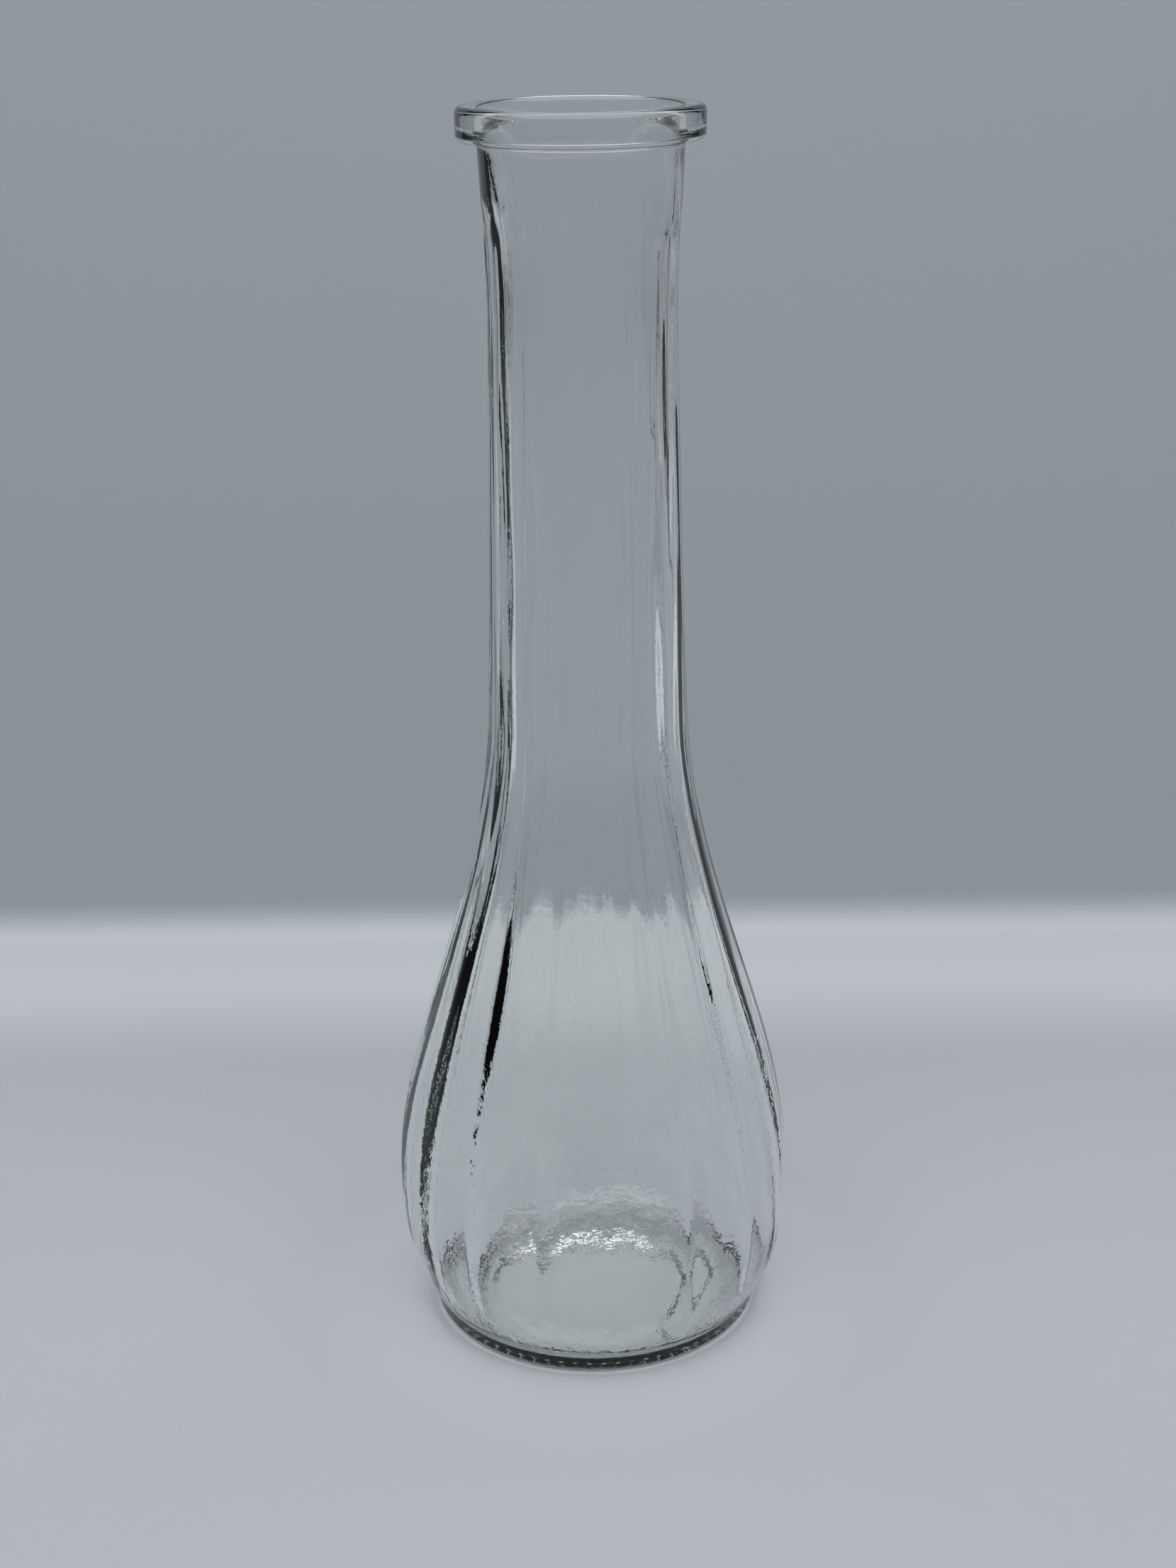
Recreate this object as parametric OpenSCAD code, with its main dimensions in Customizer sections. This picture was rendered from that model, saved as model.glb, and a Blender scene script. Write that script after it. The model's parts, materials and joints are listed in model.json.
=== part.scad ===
// Panelled glass bud vase with a banded rim, a long neck and a bulb on a low foot.
// It stands on z = 0 with its axis on Z. The glass is cut at its own zones into
// five solids that meet face to face: rim collar, neck, shoulder, bulb and foot.
// Tall shallow panels run up the outside from the foot and end in arches at the top.

/* [Overall] */
// Height from the table to the top of the rim
height = 228.6; // [215:0.2:245]

/* [Rim collar] */
// Outer diameter of the rim collar
collar_d = 42.6; // [41:0.2:48]
// Height of the rim collar's band
collar_h = 5.8; // [4.6:0.2:8]
// Radius of the collar's outer edges
collar_edge = 1.2; // [0.6:0.1:1.6]
// Diameter of the mouth at the very top, where the lip flares open
mouth_d = 34.8; // [32:0.2:36]

/* [Neck] */
// Diameter of the straight bore through the neck
bore_d = 28; // [26:0.2:29]
// Outer diameter of the round part of the neck just under the collar
throat_d = 35.3; // [34.2:0.1:38]
// Outer diameter over the ridges at the neck's narrowest
waist_d = 33.2; // [32.6:0.1:34]
// Height of the narrowest part of the neck
waist_z = 194; // [180:1:200]
// Outer diameter over the ridges where the neck starts to widen into the shoulder
neck_d = 36.8; // [35:0.2:40]
// Height where the neck starts to widen into the shoulder
neck_z = 120; // [112:1:128]

/* [Bulb] */
// Outer diameter of the belly over the ridges
belly_d = 75.6; // [72:0.2:80]
// Height of the widest part of the belly
belly_z = 28.5; // [26:0.5:34]
// Outer diameter of the bulb where it meets the foot
heel_d = 64.8; // [64:0.2:68]
// Thickness of the wall where the inside is widest
belly_wall = 3.2; // [2.4:0.1:4]
// Height where the shoulder and the bulb meet
shoulder_z = 62; // [54:1:72]

/* [Panels] */
// Number of tall panels round the vase, with a soft ridge between each two
panel_count = 16; // [12:1:20]
// Depth of a panel at the belly, below the ridges on either side
belly_depth = 0.6; // [0.3:0.1:0.9]
// Depth of a panel on the neck, below the ridges on either side
neck_depth = 0.3; // [0.2:0.1:0.5]
// Height of the arches in which the panels end on the neck
arch_z = 213; // [206:1:216]

/* [Foot] */
// Outer diameter of the foot
foot_d = 63.2; // [60:0.2:63.4]
// Height of the foot
foot_h = 4; // [3.8:0.1:4.6]
// Radius of the foot's lower edge
foot_edge = 1.2; // [0.6:0.1:1.6]
// Thickness of the glass floor under the bulb
floor_t = 3.4; // [2.8:0.1:3.6]
// Diameter of the hollow pushed up under the foot
pushup_d = 46; // [40:1:48]
// Height of the hollow pushed up under the foot
pushup_h = 0.8; // [0.6:0.1:1.2]
// Number of grip notches round the underside
notch_count = 60; // [40:1:72]

/* [Hidden] */
$fn = 128;

glass = [0.80, 0.87, 0.84, 0.45];
thick_glass = [0.62, 0.74, 0.68, 0.6];

collar_r = collar_d / 2;
mouth_r = mouth_d / 2;
bore_r = bore_d / 2;
throat_r = throat_d / 2;
waist_r = waist_d / 2;
neck_r = neck_d / 2;
belly_r = belly_d / 2;
heel_r = heel_d / 2;
foot_r = foot_d / 2;
pushup_r = pushup_d / 2;
collar_z = height - collar_h;

lip_depth = 7;          // how far down the flared lip reaches into the bore
lip_round = 0.8;        // radius of the lip's inner edge
mouth_slope = 0.6;      // sideways run of the flare's straight upper part
neck_lean = 0.052;      // how much the neck widens per millimetre at neck_z
neck_pull = 14;         // reach of the neck's curve above neck_z
waist_pull = 5;         // reach of the curves below and above the waist
throat_pull = 10;
throat_lean = 0.4;      // how much the neck widens over the last throat_pull
shoulder_pull = 36.8;   // reach of the shoulder's curve below the neck
belly_pull = 28.5;      // reach of the shoulder's curve above the belly
heel_run = 2.1;         // outward and upward reach of the curve above the foot
heel_rise = 4.6;
belly_drop = 17;        // reach of the lower curve below the belly
inner_belly_drop = 8.5; // how far below the belly the inside is widest
inner_belly_pull = 14;  // reach of the inner curve above its widest part
inner_neck_pull = 30;   // reach of the inner curve below the neck
inner_floor_r = 21;     // radius of the flat part of the inside floor
inner_heel_run = 11;    // reach of the inner curve along the floor
inner_heel_rise = 10;   // reach of the inner curve below the inside's belly
panel_turn = 6 - 90;    // direction of the first ridge, in degrees from +X
arch_drop = 5;          // how much lower the arch is at the ridges than in the middle
arch_fade = 6;          // height over which a panel's depth fades out under its arch
heel_fade = 9;          // height over which it fades out above the foot
notch_in = 25.4;        // inner and outer radius of the ring of grip notches
notch_out = 28.2;
notch_w = 1.1;
notch_deep = 0.4;
pushup_slope = 1.5;     // sideways run of the push-up's sloping wall

// A point on a cubic curve with the four control points p, for t from 0 to 1.
function bezier(p, t) =
    pow(1 - t, 3) * p[0] + 3 * pow(1 - t, 2) * t * p[1]
    + 3 * (1 - t) * t * t * p[2] + pow(t, 3) * p[3];

// Points along a cubic curve in the given number of steps, without its last point.
function curve(p, steps) = [for (i = [0:steps - 1]) bezier(p, i / steps)];

// A round corner: points on an arc about c from one angle to another.
function arc(c, r, from, to, steps) =
    [for (i = [0:steps]) let (a = from + (to - from) * i / steps) c + r * [cos(a), sin(a)]];

// The outline over the ridges is four curves, each of [radius, height] control points.
heel_curve = [
    [heel_r, foot_h], [heel_r + heel_run, foot_h + heel_rise],
    [belly_r, belly_z - belly_drop], [belly_r, belly_z]];
shoulder_curve = [
    [belly_r, belly_z], [belly_r, belly_z + belly_pull],
    [neck_r + neck_lean * shoulder_pull, neck_z - shoulder_pull], [neck_r, neck_z]];
neck_curve = [
    [neck_r, neck_z], [neck_r - neck_lean * neck_pull, neck_z + neck_pull],
    [waist_r, waist_z - waist_pull], [waist_r, waist_z]];
throat_curve = [
    [waist_r, waist_z], [waist_r, waist_z + throat_pull],
    [throat_r - throat_lean, collar_z - throat_pull], [throat_r, collar_z]];

// The inside runs from the flat floor round the heel, up the belly and into the bore.
inner_belly_r = belly_r - belly_depth - belly_wall;
inner_belly_z = belly_z - inner_belly_drop;
inner_heel_curve = [
    [inner_floor_r, floor_t], [inner_floor_r + inner_heel_run, floor_t],
    [inner_belly_r, inner_belly_z - inner_heel_rise], [inner_belly_r, inner_belly_z]];
inner_shoulder_curve = [
    [inner_belly_r, inner_belly_z], [inner_belly_r, inner_belly_z + inner_belly_pull],
    [bore_r, neck_z - inner_neck_pull], [bore_r, neck_z]];
inside = concat(
    [[0, floor_t]], curve(inner_heel_curve, 12), curve(inner_shoulder_curve, 20),
    [[bore_r, neck_z], [bore_r, height], [0, height]]);

// The outer stations from the foot to the collar.
stations = concat(
    curve(heel_curve, 10), curve(shoulder_curve, 22), curve(neck_curve, 12), curve(throat_curve, 9),
    [[throat_r, collar_z]]);

// Eases from 0 to 1 as x goes from 0 to 1.
function ease(x) = let (t = max(0, min(1, x))) t * t * (3 - 2 * t);

// Depth of the panels at a height, and how much of it is left under the arch.
function depth_at(z) =
    ease((z - foot_h) / heel_fade)
    * (belly_depth + (neck_depth - belly_depth) * ease((z - belly_z) / (neck_z - belly_z)));
function under_arch(z, u) = ease((arch_z - arch_drop * u * u - z) / arch_fade);

// Across a panel u goes from -1 to 1; the panel is a shallow scoop between its ridges.
steps_per_panel = 6;
around = panel_count * steps_per_panel;
function panelled_point(s, k) =
    let (u = 2 * (k % steps_per_panel) / steps_per_panel - 1,
         a = panel_turn + k * 360 / around,
         r = s[0] - depth_at(s[1]) * (1 - u * u) * under_arch(s[1], u))
    [r * cos(a), r * sin(a), s[1]];

// A closed solid whose rings of points follow the stations, with flat ends.
module panelled_solid(levels) {
    top = len(levels) - 1;
    ring_points = [for (s = levels) for (k = [0:around - 1]) panelled_point(s, k)];
    sides = [for (j = [0:top - 1]) for (k = [0:around - 1])
        let (n = (k + 1) % around, a = j * around, b = a + around)
        for (f = [[a + k, b + k, b + n], [a + k, b + n, a + n]]) f];
    bottom = [[for (k = [0:around - 1]) k]];
    lid = [[for (k = [around - 1:-1:0]) top * around + k]];
    polyhedron(ring_points, concat(bottom, sides, lid), convexity = 6);
}

// The stations between two heights, closed with an interpolated one at each cut.
function radius_at(z) =
    let (j = max([for (i = [0:len(stations) - 2]) if (stations[i][1] <= z) i]),
         a = stations[j], b = stations[j + 1])
    a[0] + (b[0] - a[0]) * (z - a[1]) / (b[1] - a[1]);
function between(low, high) = concat(
    [[radius_at(low), low]],
    [for (s = stations) if (s[1] > low + 0.3 && s[1] < high - 0.3) s],
    [[radius_at(high), high]]);

module rim_collar() {
    color(glass)
    rotate_extrude()
    polygon(concat(
        [[bore_r, collar_z]],
        arc([collar_r - collar_edge, collar_z + collar_edge], collar_edge, -90, 0, 6),
        arc([collar_r - collar_edge, height - collar_edge], collar_edge, 0, 90, 6),
        arc([mouth_r + lip_round, height - lip_round], lip_round, 90, 180, 5),
        [[mouth_r - mouth_slope, height - collar_h / 2]],
        [[bore_r + mouth_slope, collar_z + 0.6]]));
}

module neck() {
    color(glass)
    difference() {
        panelled_solid(between(neck_z, collar_z));
        translate([0, 0, neck_z - 1])
        cylinder(r = bore_r, h = collar_z - neck_z + 2);
    }
}

module shoulder() {
    color(glass)
    difference() {
        panelled_solid(between(shoulder_z, neck_z));
        rotate_extrude() polygon(inside);
    }
}

module bulb() {
    color(glass)
    difference() {
        panelled_solid(between(foot_h, shoulder_z));
        rotate_extrude() polygon(inside);
    }
}

module foot() {
    color(thick_glass)
    difference() {
        rotate_extrude()
        polygon(concat(
            [[0, pushup_h], [pushup_r - pushup_slope, pushup_h], [pushup_r, 0]],
            arc([foot_r - foot_edge, foot_edge], foot_edge, -90, 0, 6),
            [[foot_r, foot_h], [0, foot_h]]));
        rotate_extrude() polygon(inside);
        for (k = [0:notch_count - 1])
            rotate(k * 360 / notch_count)
            translate([notch_in, -notch_w / 2, -notch_deep])
            cube([notch_out - notch_in, notch_w, 2 * notch_deep]);
    }
}

rim_collar();
neck();
shoulder();
bulb();
foot();
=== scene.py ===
import json
import math

import bmesh
import bpy
import numpy as np
from mathutils import Matrix, Vector, noise


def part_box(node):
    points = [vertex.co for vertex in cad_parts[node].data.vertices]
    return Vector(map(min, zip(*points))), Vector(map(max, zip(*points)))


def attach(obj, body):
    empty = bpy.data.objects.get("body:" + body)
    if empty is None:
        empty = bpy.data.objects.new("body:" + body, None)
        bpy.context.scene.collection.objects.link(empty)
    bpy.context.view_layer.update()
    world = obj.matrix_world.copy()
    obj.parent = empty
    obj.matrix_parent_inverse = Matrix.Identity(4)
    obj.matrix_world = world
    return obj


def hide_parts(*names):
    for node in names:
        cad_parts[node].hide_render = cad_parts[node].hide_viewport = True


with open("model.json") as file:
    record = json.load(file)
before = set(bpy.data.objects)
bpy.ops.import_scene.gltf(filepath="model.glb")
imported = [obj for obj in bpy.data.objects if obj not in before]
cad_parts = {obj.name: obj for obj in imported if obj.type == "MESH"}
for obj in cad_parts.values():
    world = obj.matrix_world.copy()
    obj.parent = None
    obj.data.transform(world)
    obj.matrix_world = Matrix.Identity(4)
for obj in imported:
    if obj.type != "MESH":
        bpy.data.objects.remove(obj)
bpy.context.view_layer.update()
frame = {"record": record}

MM = 0.001


# ---------------------------------------------------------------- sizes from the frame, in mm

def box_mm(node):
    """The low and high corners of a node's box, in mm."""
    low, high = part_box(node)
    return [v / MM for v in low], [v / MM for v in high]


collar_low, collar_high = box_mm("rim_collar")
neck_low = box_mm("neck")[0]
foot_high = box_mm("foot")[1]
mounts = {m["name"]: m for m in frame["record"]["mounts"]}

height = collar_high[2]
collar_z = collar_low[2]
collar_r = collar_high[0]
neck_z = neck_low[2]
foot_r = foot_high[0]
foot_h = foot_high[2]
bore_r = mounts["neck_bore"]["dims"]["r_mm"]

# ---------------------------------------------------------------- shape of the glass, in mm

BELLY_R = 37.8            # over the ridges
BELLY_Z = 28.5
BELLY_PULL = 28.5         # reach of the shoulder's curve above the belly
BELLY_DROP = 17.0         # reach of the lower curve below the belly
HEEL_R = 32.4             # where the bulb meets the foot
HEEL_RUN = 2.1            # outward and upward reach of the curve above the foot
HEEL_RISE = 4.6
NECK_R = 18.4             # over the ridges, at neck_z
NECK_LEAN = 0.052         # how much the neck widens per millimetre at neck_z
SHOULDER_PULL = 36.8      # reach of the shoulder's curve below neck_z
NECK_PULL = 14.0          # reach of the neck's curve above neck_z
WAIST_R = 16.6            # the narrowest part of the neck
WAIST_Z = 194.0
WAIST_PULL = 5.0          # reach of the neck's curve below the waist
THROAT_R = 17.65          # round part under the collar
THROAT_PULL = 10.0        # reach of the throat's curve at both of its ends
THROAT_LEAN = 0.4
THROAT_FILLET = 0.8       # radius of the hollow corner under the collar
COLLAR_EDGE = 1.2         # radius of the collar's outer edges
MOUTH_R = 17.4
LIP_ROUND = 0.9           # radius of the lip's inner edge
LIP_REACH = 7.0           # reach of the flare's curve below the rim
FLARE = 30.0              # how far down the lip's flare reaches into the bore
FLARE_LEAN = 0.4          # how far its control points stand off the widths of its two ends
STEP_DROP = 0.7           # the soft step between foot and bulb: how far under the foot's top
STEP_RISE = 0.5           # it starts, how far above it ends, and how square its corner is
STEP_SOFT = 0.1

PANELS = 16
PANEL_TURN = 6.0          # direction of the first ridge, degrees from the front towards +X
BELLY_DEPTH = 0.8         # how far the panels lie under the ridges
NECK_DEPTH = 0.35
RIDGE_SOFT = 0.04         # how far the ridge's rounding reaches, as a share of half a panel
ARCH_Z = 213.0            # top of the arches
ARCH_DROP = 5.0           # how much lower they are at the ridges
ARCH_FADE = 6.0           # height over which the panels fade out under them
HEEL_FADE = 14.0          # height over which the panels fade out above the foot

INNER_BELLY_R = 34.4      # the inside at its widest
INNER_BELLY_Z = 20.0
INNER_BELLY_PULL = 28.0   # reach of the inner curve above its widest part
INNER_NECK_PULL = 24.0    # reach of the inner curve below neck_z
INNER_FLOOR = 2.9         # height of the inside floor
INNER_FLOOR_R = 27.0      # radius of its flat part
INNER_HEEL_RUN = 5.0      # reach of the inner curve along the floor
INNER_HEEL_RISE = 5.5     # reach of the inner curve below its widest part
LEAN_NECK = 0.8           # how far the inside stands off the axis, towards +X
LEAN_BULB = 1.1
LEAN_GROW = 60.0          # height over which it grows below neck_z
LEAN_TOP = 205.0          # where it starts to fade, and the height that takes
LEAN_FADE = 20.0
BORE_TOP_PULL = 20.0      # how far the straight bore's control points stand from its ends
BORE_LOW_PULL = 40.0

RING_Z = 0.15             # the ring's underside, held off the table by its ring of bars
FOOT_EDGE = 1.6           # radius of the foot's lower edge
PUSHUP_H = 0.6            # hollow under the foot, inside the ring
PUSHUP_R = 23.5
PUSHUP_SLOPE = 5.0        # sideways run of its sloping wall
BARS = 64
BAR_IN = 25.3             # inner and outer radius of the ring of bars
BAR_OUT = 27.9
BAR_MARGIN = 0.4          # how far the flat ring's own points stay off the bars
BAR_RINGS = [-0.15, 0.0, 0.3, 0.8]  # where the surface has points near a bar's end
BAR_END = 0.35            # length over which each end of a bar rises
BAR_START = 0.1           # how far outside its radius that begins
BAR_FLANK = 0.16          # width of a bar's flank, as a share of the bars' spacing
BAR_GAP = 1.4             # half the gap between two bars, in flanks
BAR_UNEVEN = 0.1          # how much the bars' heights differ, as a share

LUMPS = 0.4               # depth of the inner wall's lumps
LUMP_TURN = 2.6           # radius of their circle in the noise: more gives narrower lumps
LUMP_RISE = 0.03          # how fast they change upwards, per mm
LUMP_START = 7.0          # a different part of the noise from the ripples'
RIPPLES = 0.10            # the same three values for the finer ripples
RIPPLE_TURN = 9.0
RIPPLE_RISE = 0.05
ECHO = 0.17               # how far the inside bulges out behind each ridge
ECHO_TOP = 110.0          # height where that has faded out, and the height that takes
ECHO_FADE = 30.0
FLOOR_CALM = 10.0         # height over which the unevenness grows above the floor
LIP_CALM = 6.0            # smooth height under the rim, and the height of the fade below it
LIP_FADE = 14.0

# A fold in the glass of the inside floor, from the heel on the right towards the front
CREASE = [(19.5, 5.0), (17.9, 1.0), (14.4, -10.5), (12.0, -16.0), (11.3, -20.5), (12.6, -23.0),
          (10.6, -26.5)]
CREASE_H = 0.9            # the fold's height, and the distance over which it falls off
CREASE_W = 0.42
CREASE_TOP = 4.0          # the fold is gone at this height above the floor
CREASE_FADE = 2.0         # height over which it fades out below that

AROUND = 384              # points in a ring of the surface
CENTRE_R = 11.0           # inside this radius the floor needs few rings
FLOOR_STEP = 0.4          # spacing of the rings outside it

PEEL_SCALE = 520.0        # fineness of the inner wall's orange peel, per metre
PEEL_DEPTH = 0.2
PEEL_OUTSIDE = 0.02       # how much of it the outside has
PEEL_NECK = 0.15          # how much the inside has in the neck
PEEL_BULB = 0.35          # how much more it has in the bulb
PEEL_BULB_Z = 80.0        # that grows from this height downwards, over this reach
PEEL_BULB_REACH = 40.0
PEEL_HEEL = 0.5           # how much more again at the heel and on the floor, and the same two
PEEL_HEEL_Z = 16.0
PEEL_HEEL_REACH = 10.0

# Colour and strength of the glass's tint, per metre
ABSORB = (0.58, 0.84, 0.64)
DENSITY = 10.0
IOR = 1.52


def ease(x):
    """Eases from 0 to 1 as x goes from 0 to 1."""
    t = np.clip(x, 0.0, 1.0)
    return t * t * (3 - 2 * t)


def curve(p, steps):
    """Points along a cubic curve with four control points, without the last."""
    p = np.array(p, float)
    t = np.linspace(0, 1, steps + 1)[:-1, None]
    return ((1 - t) ** 3 * p[0] + 3 * (1 - t) ** 2 * t * p[1]
            + 3 * (1 - t) * t * t * p[2] + t ** 3 * p[3])


def arc(c, r, start, end, steps):
    """Points on an arc about c, from one angle to another in degrees."""
    a = np.radians(np.linspace(start, end, steps + 1))
    return np.stack([c[0] + r * np.cos(a), c[1] + r * np.sin(a)], 1)


# The outlines are [radius, height] points. They run from the middle of the underside, over the
# ring of bars, up the outside, over the lip and down the inside to the middle of the floor.
under_outline = np.vstack([
    [[0.0, RING_Z + PUSHUP_H], [8.0, RING_Z + PUSHUP_H], [15.0, RING_Z + PUSHUP_H]],
    curve([(PUSHUP_R - PUSHUP_SLOPE, RING_Z + PUSHUP_H),
           (PUSHUP_R - PUSHUP_SLOPE / 2, RING_Z + PUSHUP_H),
           (PUSHUP_R - PUSHUP_SLOPE / 2, RING_Z), (PUSHUP_R, RING_Z)], 8),
    [[PUSHUP_R, RING_Z], [BAR_IN - BAR_MARGIN, RING_Z]]])
bar_outline = np.array(
    [[BAR_IN + step, RING_Z] for step in BAR_RINGS]
    + [[BAR_OUT - step, RING_Z] for step in reversed(BAR_RINGS)])
outer_outline = np.vstack([
    [[BAR_OUT + BAR_MARGIN, RING_Z]],
    arc((foot_r - FOOT_EDGE, RING_Z + FOOT_EDGE), FOOT_EDGE, -90, 0, 8),
    curve([(foot_r, foot_h - STEP_DROP), (foot_r + STEP_SOFT, foot_h - STEP_SOFT),
           (HEEL_R - 2 * STEP_SOFT, foot_h - STEP_SOFT), (HEEL_R, foot_h + STEP_RISE)], 5),
    curve([(HEEL_R, foot_h + STEP_RISE), (HEEL_R + HEEL_RUN, foot_h + HEEL_RISE),
           (BELLY_R, BELLY_Z - BELLY_DROP), (BELLY_R, BELLY_Z)], 36),
    curve([(BELLY_R, BELLY_Z), (BELLY_R, BELLY_Z + BELLY_PULL),
           (NECK_R + NECK_LEAN * SHOULDER_PULL, neck_z - SHOULDER_PULL), (NECK_R, neck_z)], 80),
    curve([(NECK_R, neck_z), (NECK_R - NECK_LEAN * NECK_PULL, neck_z + NECK_PULL),
           (WAIST_R, WAIST_Z - WAIST_PULL), (WAIST_R, WAIST_Z)], 40),
    curve([(WAIST_R, WAIST_Z), (WAIST_R, WAIST_Z + THROAT_PULL),
           (THROAT_R - THROAT_LEAN, collar_z - THROAT_PULL),
           (THROAT_R, collar_z - THROAT_FILLET)], 24),
    arc((THROAT_R + THROAT_FILLET, collar_z - THROAT_FILLET), THROAT_FILLET, 180, 90, 4),
    arc((collar_r - COLLAR_EDGE, collar_z + COLLAR_EDGE), COLLAR_EDGE, -90, 0, 8),
    arc((collar_r - COLLAR_EDGE, height - COLLAR_EDGE), COLLAR_EDGE, 0, 90, 8)])

inner_outline = np.vstack([
    arc((MOUTH_R + LIP_ROUND, height - LIP_ROUND), LIP_ROUND, 90, 180, 6)[:-1],
    curve([(MOUTH_R, height - LIP_ROUND), (MOUTH_R - FLARE_LEAN, height - LIP_REACH),
           (bore_r + FLARE_LEAN, height - FLARE / 2), (bore_r, height - FLARE)], 20),
    curve([(bore_r, height - FLARE), (bore_r, height - FLARE - BORE_TOP_PULL),
           (bore_r, neck_z + BORE_LOW_PULL), (bore_r, neck_z)], 30),
    curve([(bore_r, neck_z), (bore_r, neck_z - INNER_NECK_PULL),
           (INNER_BELLY_R, INNER_BELLY_Z + INNER_BELLY_PULL), (INNER_BELLY_R, INNER_BELLY_Z)], 80),
    curve([(INNER_BELLY_R, INNER_BELLY_Z), (INNER_BELLY_R, INNER_BELLY_Z - INNER_HEEL_RISE),
           (INNER_FLOOR_R + INNER_HEEL_RUN, INNER_FLOOR), (INNER_FLOOR_R, INNER_FLOOR)], 36),
    [[r, INNER_FLOOR] for r in np.arange(INNER_FLOOR_R, CENTRE_R, -FLOOR_STEP)],
    [[9, INNER_FLOOR], [4, INNER_FLOOR], [0, INNER_FLOOR]]])


def panel_depth(z, a):
    """How far the panels lie under the ridges at height z and direction a in degrees."""
    u = ((a - PANEL_TURN) * PANELS / 360.0) % 1.0 * 2 - 1
    v = np.sqrt((1 - np.abs(u)) ** 2 + RIDGE_SOFT ** 2) - RIDGE_SOFT
    scoop = 1 - (1 - v) ** 2
    depth = BELLY_DEPTH + (NECK_DEPTH - BELLY_DEPTH) * ease((z - BELLY_Z) / (neck_z - BELLY_Z))
    fade = ease((ARCH_Z - ARCH_DROP * u * u - z) / ARCH_FADE)
    return depth * ease((z - foot_h) / HEEL_FADE) * scoop * fade


def plain_place(r, z, a):
    """A ring of points at one radius and one height, for the directions a in degrees."""
    return np.full_like(a, r), np.full_like(a, z)


def outer_place(r, z, a):
    """The outside, with its panels."""
    return r - panel_depth(z, a), np.full_like(a, z)


def bar_place(r, z, a):
    """Short radial bars that stand out under the ring, each a little different."""
    k = np.floor(a * BARS / 360.0)
    u = (a * BARS / 360.0) % 1.0
    wobble = np.sin(k * 2.4) * 0.5 + np.sin(k * 5.3 + 1) * 0.5
    across = ease((0.5 - np.abs(u - 0.5)) / BAR_FLANK - BAR_GAP)
    along = ease((r - BAR_IN + BAR_START) / BAR_END) * ease((BAR_OUT + BAR_START - r) / BAR_END)
    tall = RING_Z * (1 - BAR_UNEVEN + BAR_UNEVEN * wobble)
    return np.full_like(a, r), z - tall * across * along


def crease_at(x, y):
    """How much of the fold's height there is at a place on the inside floor."""
    nearest = np.full_like(x, 1e9)
    for (ax, ay), (bx, by) in zip(CREASE[:-1], CREASE[1:]):
        run_x, run_y = bx - ax, by - ay
        t = np.clip(((x - ax) * run_x + (y - ay) * run_y) / (run_x ** 2 + run_y ** 2), 0, 1)
        nearest = np.minimum(nearest, np.hypot(x - ax - t * run_x, y - ay - t * run_y))
    return np.exp(-(nearest / CREASE_W) ** 2)


def noise_round(a, turn, rise):
    """Smooth noise read round a circle, so that it closes on itself."""
    return np.array([
        noise.noise(Vector((turn * math.sin(t), turn * math.cos(t), rise)))
        for t in np.radians(a)])


def inner_place(r, z, a):
    """The inside: long lumps, finer ripples, a faint echo of the panels and the floor's fold."""
    lumps = noise_round(a, LUMP_TURN, z * LUMP_RISE + LUMP_START)
    ripples = noise_round(a, RIPPLE_TURN, z * RIPPLE_RISE)
    echo = np.cos(np.radians((a - PANEL_TURN) * PANELS)) * ease((ECHO_TOP - z) / ECHO_FADE)
    above_floor = ease((z - INNER_FLOOR) / FLOOR_CALM)
    below_lip = ease((height - LIP_CALM - z) / LIP_FADE)
    rough = LUMPS * lumps + RIPPLES * ripples + ECHO * echo
    x, y = r * np.sin(np.radians(a)), -r * np.cos(np.radians(a))
    fold = crease_at(x, y) * ease((INNER_FLOOR + CREASE_TOP - z) / CREASE_FADE)
    return r + rough * above_floor * below_lip, z + CREASE_H * fold


def bore_shift(z):
    """How far the inside stands off the axis; it comes back to it under the lip."""
    lean = LEAN_NECK + (LEAN_BULB - LEAN_NECK) * ease((neck_z - z) / LEAN_GROW)
    return lean * (1 - ease((z - LEAN_TOP) / LEAN_FADE)), 0.0


class Skin:
    """Rings of points about the axis, joined into one closed surface."""

    def __init__(self):
        self.points = []
        self.faces = []
        self.last = None

    def ring(self, around, r, z, place, shift=(0.0, 0.0)):
        """Adds a ring of points and joins it to the last one."""
        start = len(self.points)
        if r < 1e-6:
            self.points.append((shift[0], shift[1], z))
            around = 1
        else:
            a = np.arange(around) * 360.0 / around
            radius, level = place(r, z, a)
            x = radius * np.sin(np.radians(a)) + shift[0]
            y = -radius * np.cos(np.radians(a)) + shift[1]
            self.points.extend(zip(x, y, level))
        if self.last:
            self.join(*self.last, start, around)
        self.last = (start, around)

    def join(self, low, n, high, m):
        """Joins a ring of n points to the next of m: equal, twice, half, or a single point."""
        for k in range(max(n, m) if n != m and 1 in (n, m) else min(n, m)):
            if n == 1:
                self.faces.append((low, high + (k + 1) % m, high + k))
            elif m == 1:
                self.faces.append((low + k, low + (k + 1) % n, high))
            elif n == m:
                j = (k + 1) % n
                self.faces.append((low + k, low + j, high + j, high + k))
            elif m == 2 * n:
                self.faces.append((low + k, high + 2 * k + 1, high + 2 * k))
                self.faces.append((low + k, low + (k + 1) % n, high + (2 * k + 2) % m,
                                   high + 2 * k + 1))
            else:
                self.faces.append((low + 2 * k, low + 2 * k + 1, high + k))
                self.faces.append((low + 2 * k + 1, low + (2 * k + 2) % n,
                                   high + (k + 1) % m, high + k))


def peel_inside(z):
    """The inner wall is smoother in the neck and rougher in the heel and on the floor."""
    bulb = PEEL_BULB * ease((PEEL_BULB_Z - z) / PEEL_BULB_REACH)
    heel = PEEL_HEEL * ease((PEEL_HEEL_Z - z) / PEEL_HEEL_REACH)
    return PEEL_NECK + bulb + heel


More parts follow.
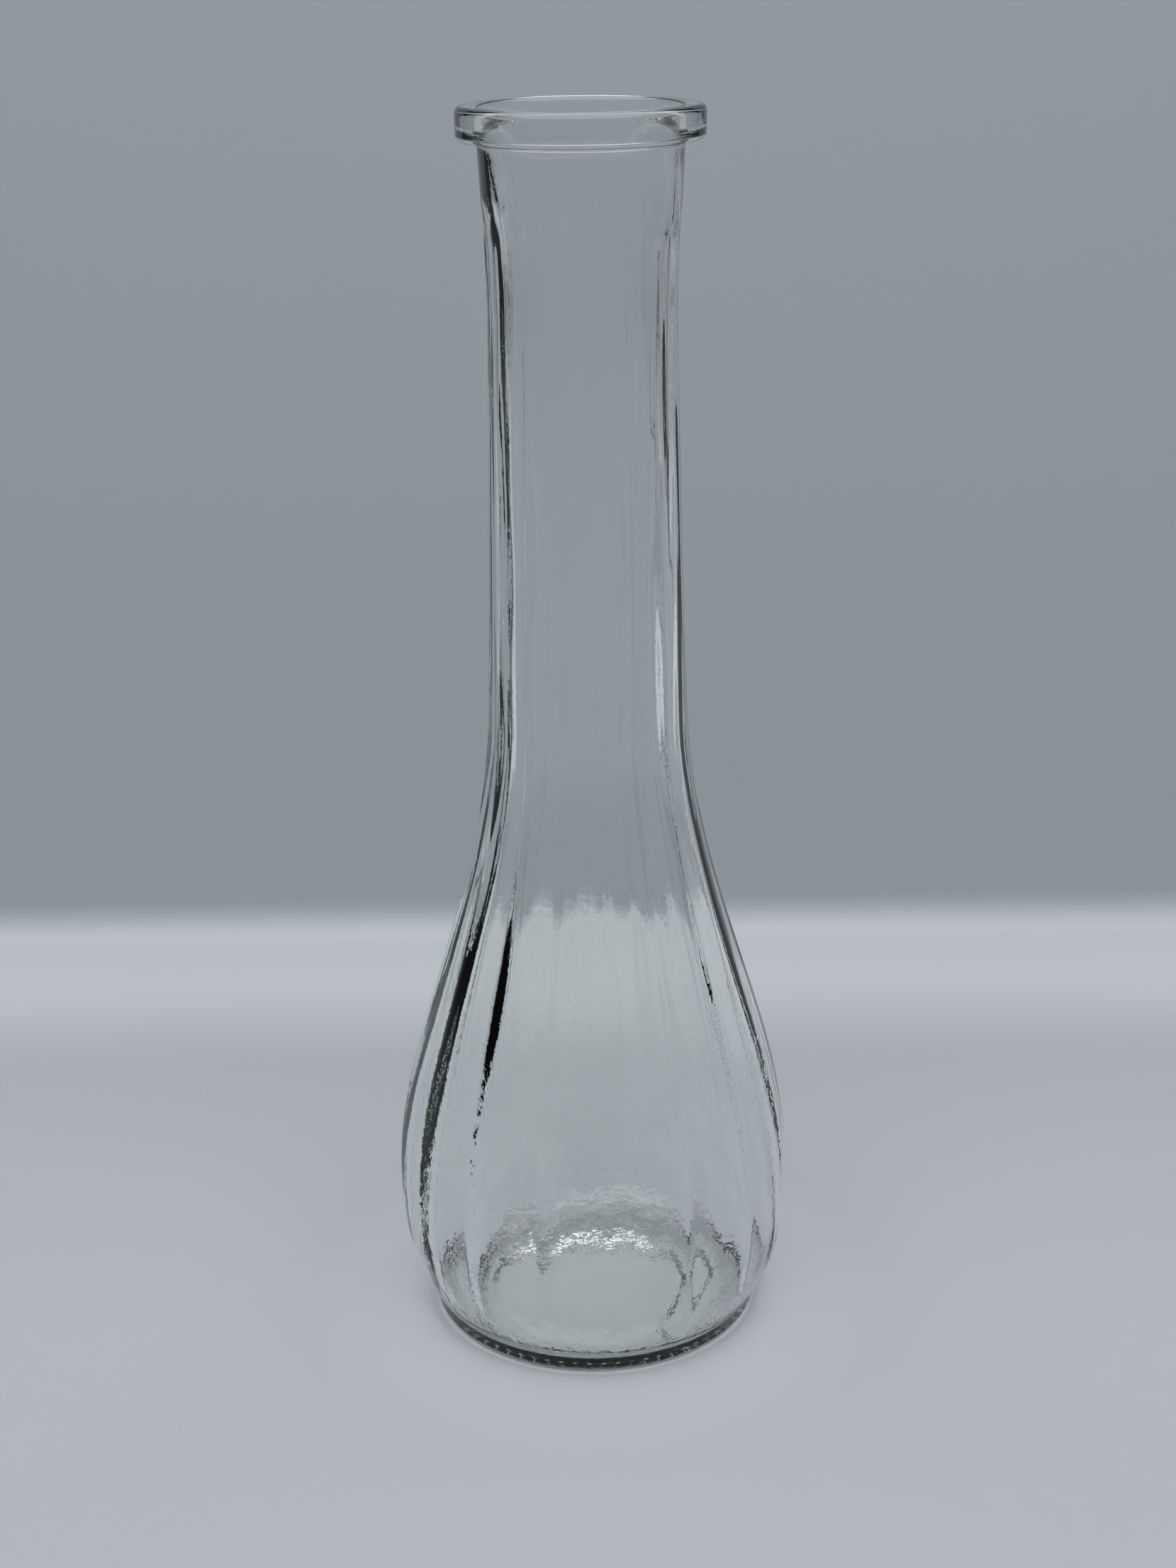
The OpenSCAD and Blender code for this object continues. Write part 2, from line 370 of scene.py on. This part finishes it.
skin = Skin()
for r, z in under_outline:
    skin.ring(AROUND, r, z, plain_place)
for r, z in bar_outline:
    skin.ring(AROUND * 2, r, z, bar_place)
for r, z in outer_outline:
    skin.ring(AROUND, r, z, outer_place)
inside_from = len(skin.points)
for r, z in inner_outline:
    skin.ring(AROUND, r, z, inner_place, bore_shift(z))

mesh = bpy.data.meshes.new("vase_glass")
mesh.from_pydata([Vector(p) * MM for p in skin.points], [], skin.faces)
mesh.update()
bm = bmesh.new()
bm.from_mesh(mesh)
bmesh.ops.recalc_face_normals(bm, faces=bm.faces)
bm.to_mesh(mesh)
bm.free()
for face in mesh.polygons:
    face.use_smooth = True
peel_value = mesh.attributes.new("peel", "FLOAT", "POINT")
peel_value.data.foreach_set("value", [
    PEEL_OUTSIDE if i < inside_from else float(peel_inside(point[2]))
    for i, point in enumerate(skin.points)])
vase = bpy.data.objects.new("vase_glass", mesh)
bpy.context.scene.collection.objects.link(vase)

# ---------------------------------------------------------------- glass

def clear_glass():
    """Clear glass that absorbs a little red and blue, with dimples where the peel value asks."""
    glass = bpy.data.materials.new("clear_glass")
    glass.use_nodes = True
    tree = glass.node_tree
    shader = tree.nodes["Principled BSDF"]
    shader.inputs["Base Color"].default_value = (1, 1, 1, 1)
    shader.inputs["Transmission Weight"].default_value = 1
    shader.inputs["Roughness"].default_value = 0.0
    shader.inputs["IOR"].default_value = IOR
    coord = tree.nodes.new("ShaderNodeTexCoord")
    mask = tree.nodes.new("ShaderNodeAttribute")
    mask.attribute_name = "peel"
    peel = tree.nodes.new("ShaderNodeTexNoise")
    peel.inputs["Scale"].default_value = PEEL_SCALE
    peel.inputs["Detail"].default_value = 2.5
    peel.inputs["Roughness"].default_value = 0.6
    tree.links.new(coord.outputs["Object"], peel.inputs["Vector"])
    dimple = tree.nodes.new("ShaderNodeMath")
    dimple.operation = "MULTIPLY"
    tree.links.new(peel.outputs["Fac"], dimple.inputs[0])
    tree.links.new(mask.outputs["Fac"], dimple.inputs[1])
    bump = tree.nodes.new("ShaderNodeBump")
    bump.inputs["Strength"].default_value = 1.0
    bump.inputs["Distance"].default_value = PEEL_DEPTH * MM
    tree.links.new(dimple.outputs[0], bump.inputs["Height"])
    tree.links.new(bump.outputs[0], shader.inputs["Normal"])
    absorb = tree.nodes.new("ShaderNodeVolumeAbsorption")
    absorb.inputs["Color"].default_value = (*ABSORB, 1)
    absorb.inputs["Density"].default_value = DENSITY
    tree.links.new(absorb.outputs[0], tree.nodes["Material Output"].inputs["Volume"])
    return glass


mesh.materials.append(clear_glass())

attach(vase, "root")
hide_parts("rim_collar", "neck", "shoulder", "bulb", "foot")

# ---------------------------------------------------------------- floor and backdrop

FLOOR_COLOR = (0.63, 0.665, 0.70)
# Painted shade: the floor's darker tone at the front, in place of light that falls off there
NEAR_PAINTED_SHADE = (0.455, 0.487, 0.52)
WALL_COLOR = (0.475, 0.52, 0.55)
POOL = 1.32               # how much brighter the floor is under the vase
POOL_IN = foot_r - 8      # where that starts to fade, and where it ends
POOL_OUT = foot_r + 30
FAR_START = 95.0          # where the floor's painted shade gives way to paler paper towards the backdrop
FAR_END = 150.0
FLOOR_HALF = 3000.0
WALL_Y = 179.0
WALL_HALF = 200.0
WALL_TOP = 330.0
FOLD_R = 9.0              # radius of the bend between floor and backdrop
FOLD_TONE = 7.0           # height over which the tone changes
FOLD_LIFT = 0.05          # keeps the bend off the floor


def stage_mesh(name, profile, half):
    """A strip that runs along X and follows a profile of [y, z] points."""
    points, faces = [], []
    for y, z in profile:
        points += [(-half * MM, y * MM, z * MM), (half * MM, y * MM, z * MM)]
    for k in range(len(profile) - 1):
        faces.append((2 * k, 2 * k + 1, 2 * k + 3, 2 * k + 2))
    strip = bpy.data.meshes.new(name)
    strip.from_pydata(points, [], faces)
    strip.update()
    for face in strip.polygons:
        face.use_smooth = True
    sheet = bpy.data.objects.new(name, strip)
    bpy.context.scene.collection.objects.link(sheet)
    return sheet


def light_pool(paper_material, start, end, glow):
    """Brightens the paper under the vase, standing in for light that the bulb gathers there."""
    tree = paper_material.node_tree
    far = tree.nodes.new("ShaderNodeVectorMath")
    far.operation = "LENGTH"
    coord = tree.nodes["Texture Coordinate"]
    tree.links.new(coord.outputs["Object"], far.inputs[0])
    fade = tree.nodes.new("ShaderNodeMapRange")
    fade.interpolation_type = "SMOOTHSTEP"
    fade.inputs["From Min"].default_value = start * MM
    fade.inputs["From Max"].default_value = end * MM
    fade.inputs["To Min"].default_value = glow
    fade.inputs["To Max"].default_value = 1.0
    tree.links.new(far.outputs["Value"], fade.inputs["Value"])
    gain = tree.nodes.new("ShaderNodeVectorMath")
    gain.operation = "SCALE"
    tree.links.new(tree.nodes["Mix"].outputs[2], gain.inputs[0])
    tree.links.new(fade.outputs[0], gain.inputs["Scale"])
    tree.links.new(gain.outputs[0], tree.nodes["Principled BSDF"].inputs["Base Color"])


def paper(name, low, high, axis, start, end, one_sided):
    """Matt paper that turns from one tone to another along an axis."""
    material = bpy.data.materials.new(name)
    material.use_nodes = True
    tree = material.node_tree
    shader = tree.nodes["Principled BSDF"]
    shader.inputs["Roughness"].default_value = 0.8
    shader.inputs["Specular IOR Level"].default_value = 0.1
    coord = tree.nodes.new("ShaderNodeTexCoord")
    place = tree.nodes.new("ShaderNodeSeparateXYZ")
    tree.links.new(coord.outputs["Object"], place.inputs[0])
    ramp = tree.nodes.new("ShaderNodeMapRange")
    ramp.interpolation_type = "SMOOTHSTEP"
    ramp.inputs["From Min"].default_value = start * MM
    ramp.inputs["From Max"].default_value = end * MM
    tree.links.new(place.outputs[axis], ramp.inputs["Value"])
    tone = tree.nodes.new("ShaderNodeMix")
    tone.data_type = "RGBA"
    tone.inputs[6].default_value = (*low, 1)
    tone.inputs[7].default_value = (*high, 1)
    tree.links.new(ramp.outputs[0], tone.inputs[0])
    tree.links.new(tone.outputs[2], shader.inputs["Base Color"])
    if one_sided:
        clear = tree.nodes.new("ShaderNodeBsdfTransparent")
        side = tree.nodes.new("ShaderNodeNewGeometry")
        pick = tree.nodes.new("ShaderNodeMixShader")
        tree.links.new(side.outputs["Backfacing"], pick.inputs[0])
        tree.links.new(shader.outputs[0], pick.inputs[1])
        tree.links.new(clear.outputs[0], pick.inputs[2])
        tree.links.new(pick.outputs[0], tree.nodes["Material Output"].inputs["Surface"])
    return material


# The floor's tone ramp along Y is painted light and shade: darker at the front, paler towards the
# backdrop
floor = stage_mesh("floor", [(-FLOOR_HALF, 0.0), (FLOOR_HALF, 0.0)], FLOOR_HALF)
floor.data.materials.append(
    paper("floor_paper", NEAR_PAINTED_SHADE, FLOOR_COLOR, "Y", FAR_START, FAR_END, False))
light_pool(floor.data.materials[0], POOL_IN, POOL_OUT, POOL)
bend = [(WALL_Y - FOLD_R + FOLD_R * math.sin(t), FOLD_R - FOLD_R * math.cos(t) + FOLD_LIFT)
        for t in np.linspace(0.0, math.pi / 2, 14)]
wall = stage_mesh("backdrop", bend + [(WALL_Y, WALL_TOP)], WALL_HALF)
wall.data.materials.append(paper("wall_paper", FLOOR_COLOR, WALL_COLOR, "Z", 0, FOLD_TONE, True))

# ---------------------------------------------------------------- light

WORLD = 0.06              # strength of the light that comes from all round
WORLD_COLOR = (0.9, 0.96, 1.0)
LAMP_PLACE = (0, -150, 900)
LAMP_SIZE = 1500
LAMP_POWER = 14.0         # watts

world = bpy.data.worlds.new("room")
world.use_nodes = True
world.node_tree.nodes["Background"].inputs[0].default_value = (*WORLD_COLOR, 1)
world.node_tree.nodes["Background"].inputs[1].default_value = WORLD
bpy.context.scene.world = world


def area_light(name, place, size, power, target):
    """A square lamp that faces its target."""
    light = bpy.data.lights.new(name, "AREA")
    light.shape = "SQUARE"
    light.size = size * MM
    light.energy = power
    lamp = bpy.data.objects.new(name, light)
    lamp.location = Vector(place) * MM
    lamp.rotation_mode = "QUATERNION"
    lamp.rotation_quaternion = (Vector(target) - Vector(place)).to_track_quat("-Z", "Y")
    bpy.context.scene.collection.objects.link(lamp)


area_light("overhead", LAMP_PLACE, LAMP_SIZE, LAMP_POWER, (0, 0, 0))

# ---------------------------------------------------------------- camera

CAMERA_PLACE = (0.0, -413.5, 258.4)
CAMERA_DOWN = 20.119      # degrees
CAMERA_TURN = -0.028
CAMERA_ROLL = -0.747
FOCAL = 54.49             # focal length and width of the sensor
SENSOR = 36
CLIP_START = 10.0

down, turn, roll = (math.radians(v) for v in (CAMERA_DOWN, CAMERA_TURN, CAMERA_ROLL))
ahead = Vector((math.sin(turn) * math.cos(down), math.cos(turn) * math.cos(down), -math.sin(down)))
right = Vector((math.cos(turn), -math.sin(turn), 0))
up = right.cross(ahead)
right, up = (math.cos(roll) * right + math.sin(roll) * up,
             math.cos(roll) * up - math.sin(roll) * right)
camera_data = bpy.data.cameras.new("camera")
camera_data.sensor_width = SENSOR
camera_data.lens = FOCAL
camera_data.clip_start = CLIP_START * MM
camera = bpy.data.objects.new("camera", camera_data)
camera.matrix_world = Matrix((right, up, -ahead)).transposed().to_4x4()
camera.location = Vector(CAMERA_PLACE) * MM
bpy.context.scene.collection.objects.link(camera)
bpy.context.scene.camera = camera

scene = bpy.context.scene
scene.view_settings.view_transform = "Standard"
scene.cycles.transmission_bounces = 24
scene.cycles.max_bounces = 32
scene.cycles.caustics_refractive = True
scene.cycles.caustics_reflective = True
scene.cycles.blur_glossy = 0.3
